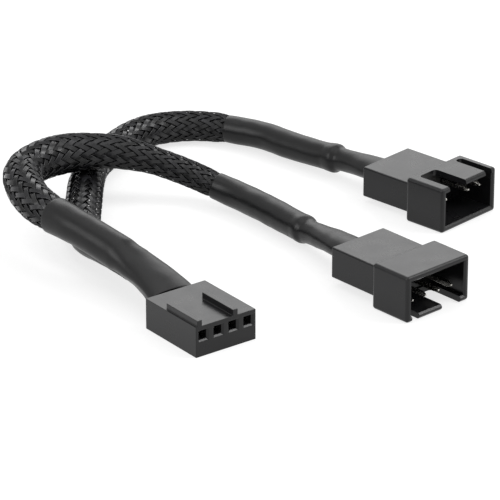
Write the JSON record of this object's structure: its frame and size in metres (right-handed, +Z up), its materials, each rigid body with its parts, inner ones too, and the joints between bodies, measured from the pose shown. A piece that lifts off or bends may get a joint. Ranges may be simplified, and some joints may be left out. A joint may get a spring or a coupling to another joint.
{
  "type": "fan splitter cable",
  "caption": "Sleeved Y cable that splits one fan header socket to two shrouded fan plugs, with a forked heat-shrink and a braided sleeve on each branch.",
  "frame": {"origin": "centre of the ground under the connectors and heat-shrinks, on the plane that they rest on", "axes": "+Z up from the ground; -Y out of the female housing's mating face; +X from the female housing towards the male ones"},
  "size_m": [0.0659, 0.0764, 0.0106],
  "materials": {
    "black_nylon": "satin moulded",
    "black_heat_shrink": "satin",
    "black_braid": "woven monofilament",
    "black_insulation": "satin",
    "tinned_contact": "tin plated"
  },
  "bodies": {
    "root": {"female_housing": "black_nylon", "female_terminal_1": "tinned_contact", "female_terminal_2": "tinned_contact", "female_terminal_3": "tinned_contact", "female_terminal_4": "tinned_contact", "fork_heat_shrink": "black_heat_shrink", "sleeve_a": "black_braid", "sleeve_b": "black_braid", "heat_shrink_a": "black_heat_shrink", "heat_shrink_b": "black_heat_shrink", "male_housing_a": "black_nylon", "male_housing_b": "black_nylon", "male_pin_a_1": "tinned_contact", "male_pin_a_2": "tinned_contact", "male_pin_a_3": "tinned_contact", "male_pin_a_4": "tinned_contact", "male_pin_b_1": "tinned_contact", "male_pin_b_2": "tinned_contact", "male_pin_b_4": "tinned_contact", "wire_a_1": "black_insulation", "wire_a_2": "black_insulation", "wire_a_3": "black_insulation", "wire_a_4": "black_insulation", "wire_b_1": "black_insulation", "wire_b_2": "black_insulation", "wire_b_4": "black_insulation"}
  },
  "joints": []
}
